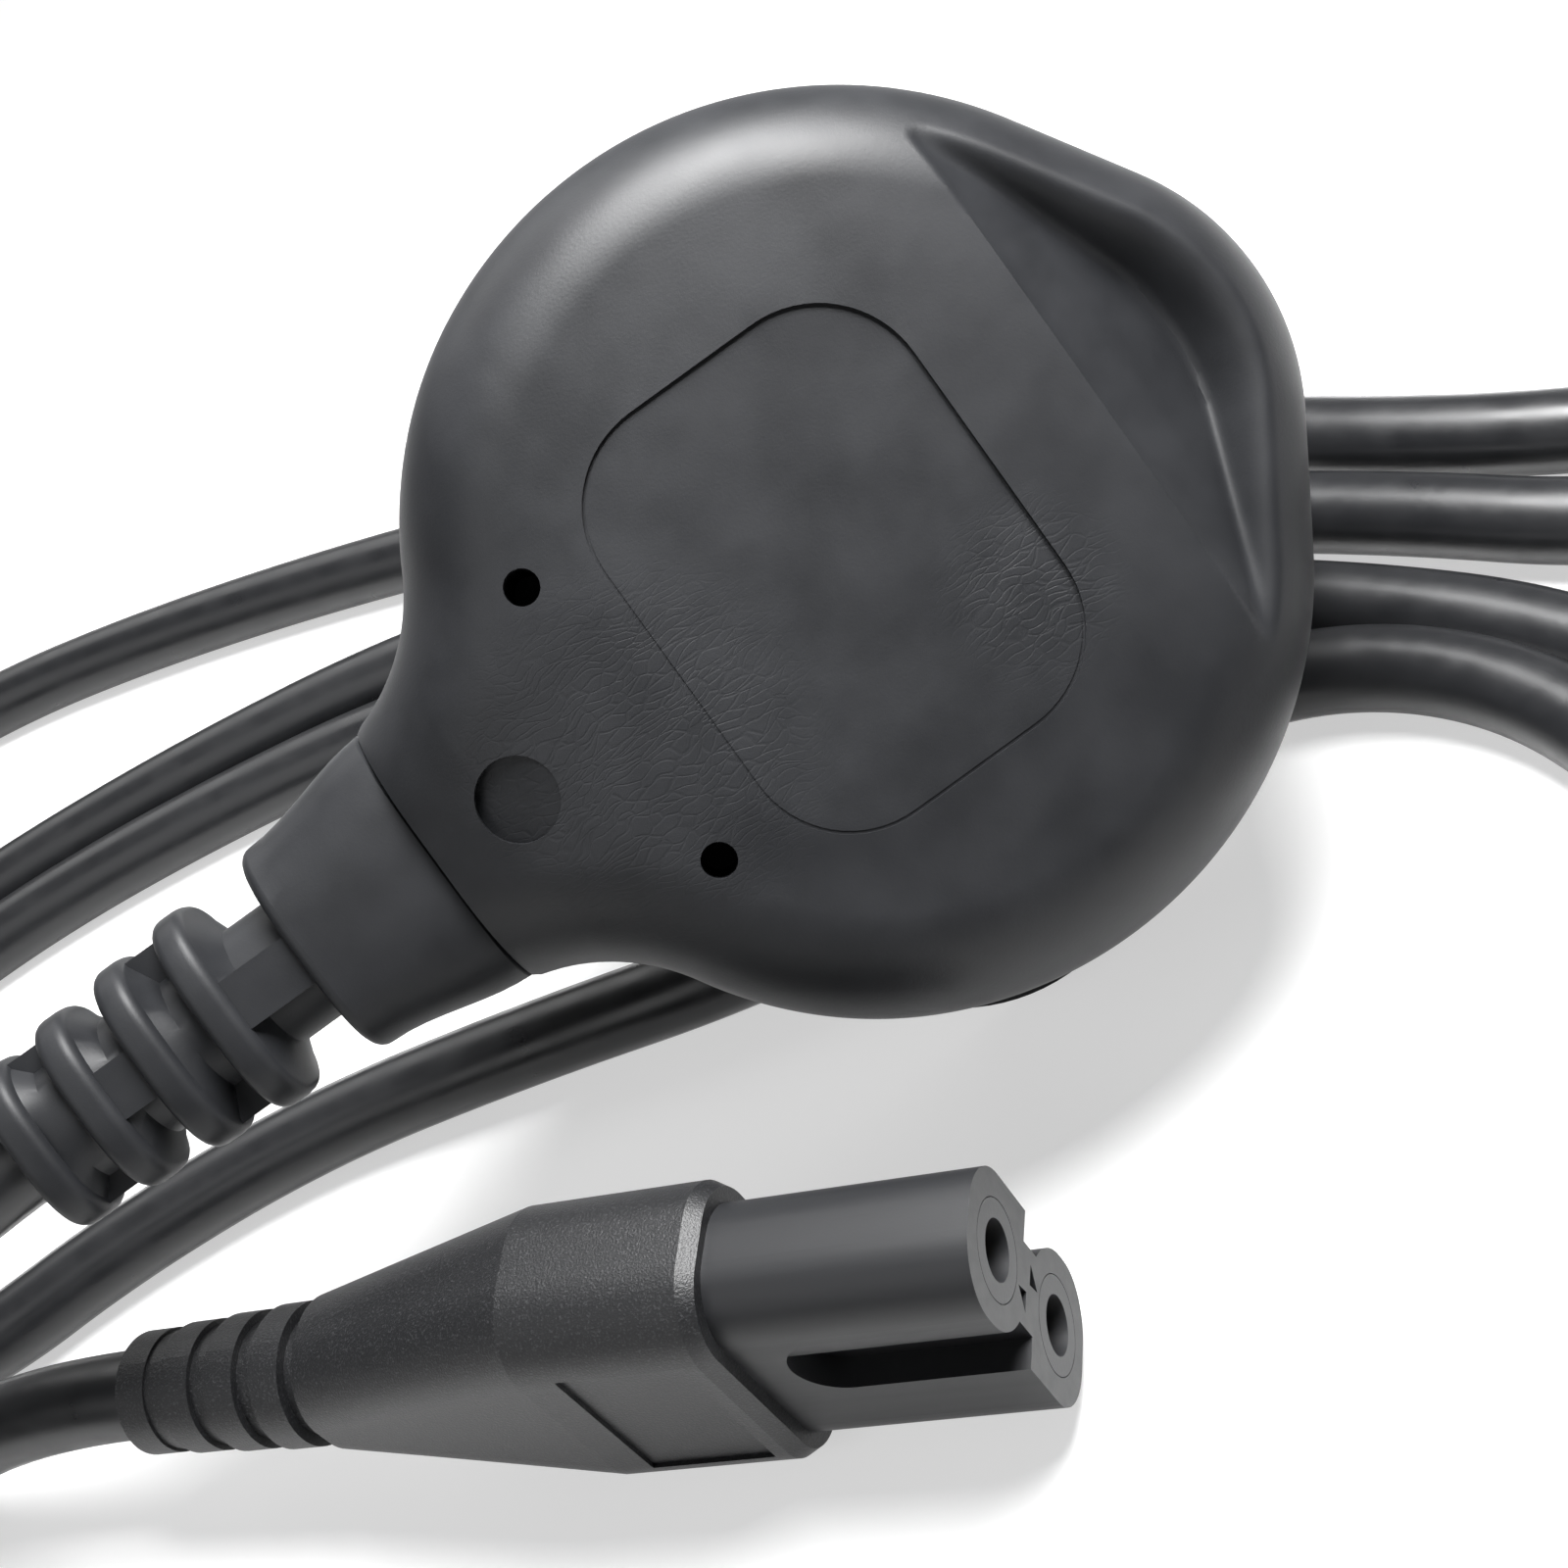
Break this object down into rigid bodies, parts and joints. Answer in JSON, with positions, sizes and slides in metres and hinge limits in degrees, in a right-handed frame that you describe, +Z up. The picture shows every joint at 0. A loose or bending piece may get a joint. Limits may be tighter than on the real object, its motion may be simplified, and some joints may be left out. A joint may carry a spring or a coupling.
{
  "type": "figure eight mains lead",
  "caption": "Mains lead with a fused flat pin plug that has a domed cover and finger scoop, a round cord, and a figure eight appliance connector.",
  "frame": {"origin": "on the table, at the centre of the box round the plug and the connector, without the free cord", "axes": "+X along the plug's axis to its earth pin end, -Y to the side where the cover and the connector's face are seen, +Z up from the table"},
  "size_m": [0.2073, 0.1675, 0.0537],
  "materials": {
    "cover_pvc": "satin moulded PVC, finely creased round the label and neck",
    "bridge_plastic": "hard moulded plastic, satin",
    "pin_brass": "stamped brass, bright",
    "sleeve_plastic": "thin moulded sleeve, satin",
    "fuse_ceramic": "pale glazed ceramic tube",
    "brown_core": "brown core insulation",
    "blue_core": "blue core insulation",
    "cord_pvc": "smooth round PVC sheath, soft gloss",
    "nose_pvc": "smooth moulded plastic, soft gloss",
    "liner_plastic": "insert round each bore, satin",
    "handle_pvc": "fine spark grain"
  },
  "bodies": {
    "lead": {"plug_cover": "cover_pvc", "strain_relief": "cover_pvc", "pin_base": "bridge_plastic", "live_pin": "pin_brass", "neutral_pin": "pin_brass", "live_sleeve": "sleeve_plastic", "neutral_sleeve": "sleeve_plastic", "earth_pin": "bridge_plastic", "fuse_clip_cord": "pin_brass", "fuse_clip_earth": "pin_brass", "plug_line_core": "brown_core", "plug_neutral_core": "blue_core", "plug_cord_end": "cord_pvc", "connector_nose": "nose_pvc", "bore_liner_upper": "liner_plastic", "bore_liner_lower": "liner_plastic", "contact_upper": "pin_brass", "contact_lower": "pin_brass", "connector_handle": "handle_pvc", "connector_cord_end": "cord_pvc", "connector_line_core": "brown_core", "connector_neutral_core": "blue_core", "cord": "cord_pvc"},
    "carrier": {"fuse_carrier": "bridge_plastic", "fuse_tube": "fuse_ceramic", "fuse_cap_cord": "pin_brass", "fuse_cap_earth": "pin_brass"}
  },
  "joints": [
    {"name": "fuse_slide", "type": "slide", "parent": "lead", "child": "carrier", "axis": [0, 0.7726, -0.6349], "range_m": [0, 0.012]}
  ]
}
